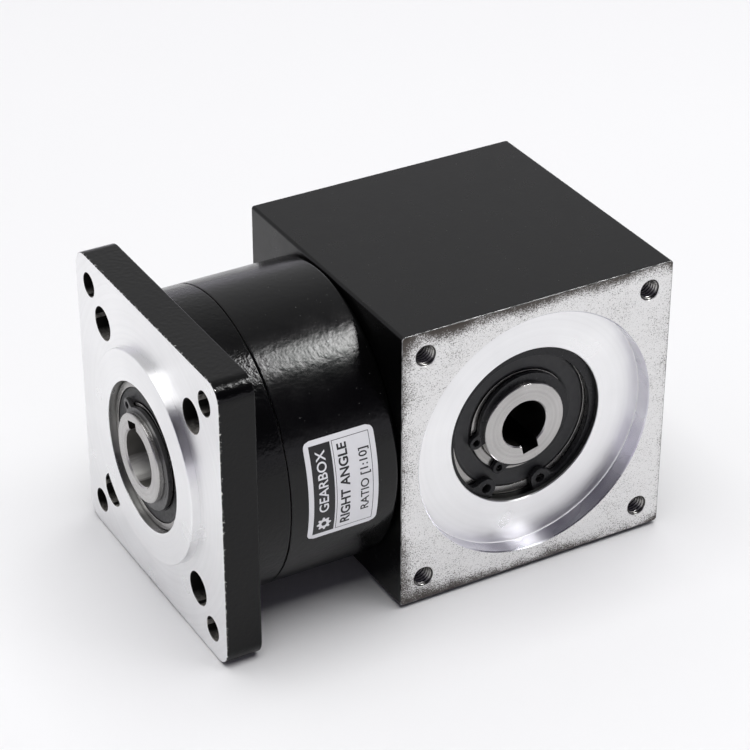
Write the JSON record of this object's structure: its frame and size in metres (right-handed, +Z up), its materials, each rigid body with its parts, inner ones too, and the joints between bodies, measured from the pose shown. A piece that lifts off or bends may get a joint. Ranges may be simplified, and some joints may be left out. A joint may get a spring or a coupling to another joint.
{
  "type": "right-angle planetary gearbox",
  "caption": "Right-angle planetary gearbox: square motor face and bevel stage in a cube housing, planetary stage in a round body, square output flange, hollow keyed shafts.",
  "frame": {"origin": "under the middle of the bounding box, on the plane it rests on", "axes": "+Z up; the output shaft and its flange point along -X; the motor face points along -Y"},
  "size_m": [0.1404, 0.086, 0.086],
  "materials": {
    "painted_casting": "cast aluminium, satin black paint, with the mounting faces machined bright",
    "painted_steel": "gloss black paint with a fine orange peel",
    "ground_steel": "ground, light grey",
    "gear_steel": "cut and hardened, oiled",
    "bearing_steel": "ground bright",
    "circlip_steel": "phosphated black spring steel",
    "screw_steel": "black oxide",
    "seal_rubber": "moulded nitrile rubber",
    "bush_bronze": "sintered bronze",
    "label_film": "white printed film"
  },
  "bodies": {
    "housing": {"corner_housing": "painted_casting", "ring_gear_housing": "painted_steel", "output_flange": "painted_casting", "rating_label": "label_film", "flange_screw_1": "screw_steel", "flange_screw_2": "screw_steel", "flange_screw_3": "screw_steel", "flange_screw_4": "screw_steel", "housing_screw_1": "screw_steel", "housing_screw_2": "screw_steel", "housing_screw_3": "screw_steel", "housing_screw_4": "screw_steel", "input_front_bearing_outer_ring": "bearing_steel", "input_rear_bearing_outer_ring": "bearing_steel", "sun_bearing_inner_outer_ring": "bearing_steel", "sun_bearing_outer_outer_ring": "bearing_steel", "output_rear_bearing_outer_ring": "bearing_steel", "output_front_bearing_outer_ring": "bearing_steel", "input_bearing_seal": "seal_rubber", "output_bearing_seal": "seal_rubber", "input_bearing_circlip": "circlip_steel"},
    "output": {"output_carrier": "ground_steel", "carrier_rear_plate": "ground_steel", "planet_pin_1": "bearing_steel", "planet_pin_2": "bearing_steel", "planet_pin_3": "bearing_steel", "output_rear_bearing_inner_ring": "bearing_steel", "output_front_bearing_inner_ring": "bearing_steel", "output_shaft_circlip": "circlip_steel"},
    "planet_1": {"planet_gear_1": "gear_steel", "planet_bush_1": "bush_bronze"},
    "planet_2": {"planet_gear_2": "gear_steel", "planet_bush_2": "bush_bronze"},
    "planet_3": {"planet_gear_3": "gear_steel", "planet_bush_3": "bush_bronze"},
    "sun": {"sun_shaft": "gear_steel", "driven_bevel_gear": "gear_steel", "sun_bearing_inner_inner_ring": "bearing_steel", "sun_bearing_outer_inner_ring": "bearing_steel", "sun_shaft_circlip": "circlip_steel"},
    "input": {"input_shaft": "ground_steel", "drive_bevel_gear": "gear_steel", "input_front_bearing_inner_ring": "bearing_steel", "input_rear_bearing_inner_ring": "bearing_steel", "input_shaft_circlip": "circlip_steel"},
    "input_front_cage": {"input_front_bearing_ball_cage": "bearing_steel"},
    "input_rear_cage": {"input_rear_bearing_ball_cage": "bearing_steel"},
    "sun_inner_cage": {"sun_bearing_inner_ball_cage": "bearing_steel"},
    "sun_outer_cage": {"sun_bearing_outer_ball_cage": "bearing_steel"},
    "output_rear_cage": {"output_rear_bearing_ball_cage": "bearing_steel"},
    "output_front_cage": {"output_front_bearing_ball_cage": "bearing_steel"}
  },
  "joints": [
    {"name": "output_spin", "type": "hinge", "parent": "housing", "child": "output", "pos_m": [0.0282, 0, 0.043], "axis": [-1, 0, 0], "continuous": true},
    {"name": "planet_1_spin", "type": "hinge", "parent": "output", "child": "planet_1", "pos_m": [-0.0328, 0, 0.061], "axis": [-1, 0, 0], "continuous": true},
    {"name": "planet_2_spin", "type": "hinge", "parent": "output", "child": "planet_2", "pos_m": [-0.0328, 0.01559, 0.034], "axis": [-1, 0, 0], "continuous": true},
    {"name": "planet_3_spin", "type": "hinge", "parent": "output", "child": "planet_3", "pos_m": [-0.0328, -0.01559, 0.034], "axis": [-1, 0, 0], "continuous": true},
    {"name": "sun_spin", "type": "hinge", "parent": "housing", "child": "sun", "pos_m": [0.0282, 0, 0.043], "axis": [-1, 0, 0], "continuous": true},
    {"name": "input_spin", "type": "hinge", "parent": "housing", "child": "input", "pos_m": [0.0282, 0, 0.043], "axis": [0, -1, 0], "continuous": true},
    {"name": "input_front_cage_spin", "type": "hinge", "parent": "housing", "child": "input_front_cage", "pos_m": [0.0282, 0, 0.043], "axis": [0, -1, 0], "continuous": true},
    {"name": "input_rear_cage_spin", "type": "hinge", "parent": "housing", "child": "input_rear_cage", "pos_m": [0.0282, 0, 0.043], "axis": [0, -1, 0], "continuous": true},
    {"name": "sun_inner_cage_spin", "type": "hinge", "parent": "housing", "child": "sun_inner_cage", "pos_m": [0.0282, 0, 0.043], "axis": [-1, 0, 0], "continuous": true},
    {"name": "sun_outer_cage_spin", "type": "hinge", "parent": "housing", "child": "sun_outer_cage", "pos_m": [0.0282, 0, 0.043], "axis": [-1, 0, 0], "continuous": true},
    {"name": "output_rear_cage_spin", "type": "hinge", "parent": "housing", "child": "output_rear_cage", "pos_m": [0.0282, 0, 0.043], "axis": [-1, 0, 0], "continuous": true},
    {"name": "output_front_cage_spin", "type": "hinge", "parent": "housing", "child": "output_front_cage", "pos_m": [0.0282, 0, 0.043], "axis": [-1, 0, 0], "continuous": true}
  ],
  "couplings": [
    {"joint": "planet_1_spin", "follows": "output_spin", "ratio": -2.25},
    {"joint": "planet_2_spin", "follows": "output_spin", "ratio": -2.25},
    {"joint": "planet_3_spin", "follows": "output_spin", "ratio": -2.25},
    {"joint": "sun_spin", "follows": "output_spin", "ratio": 10},
    {"joint": "input_spin", "follows": "output_spin", "ratio": -10},
    {"joint": "input_front_cage_spin", "follows": "output_spin", "ratio": -3.9917},
    {"joint": "input_rear_cage_spin", "follows": "output_spin", "ratio": -3.8577},
    {"joint": "sun_inner_cage_spin", "follows": "output_spin", "ratio": 3.8577},
    {"joint": "sun_outer_cage_spin", "follows": "output_spin", "ratio": 3.8577},
    {"joint": "output_rear_cage_spin", "follows": "output_spin", "ratio": 0.42667},
    {"joint": "output_front_cage_spin", "follows": "output_spin", "ratio": 0.41627}
  ]
}
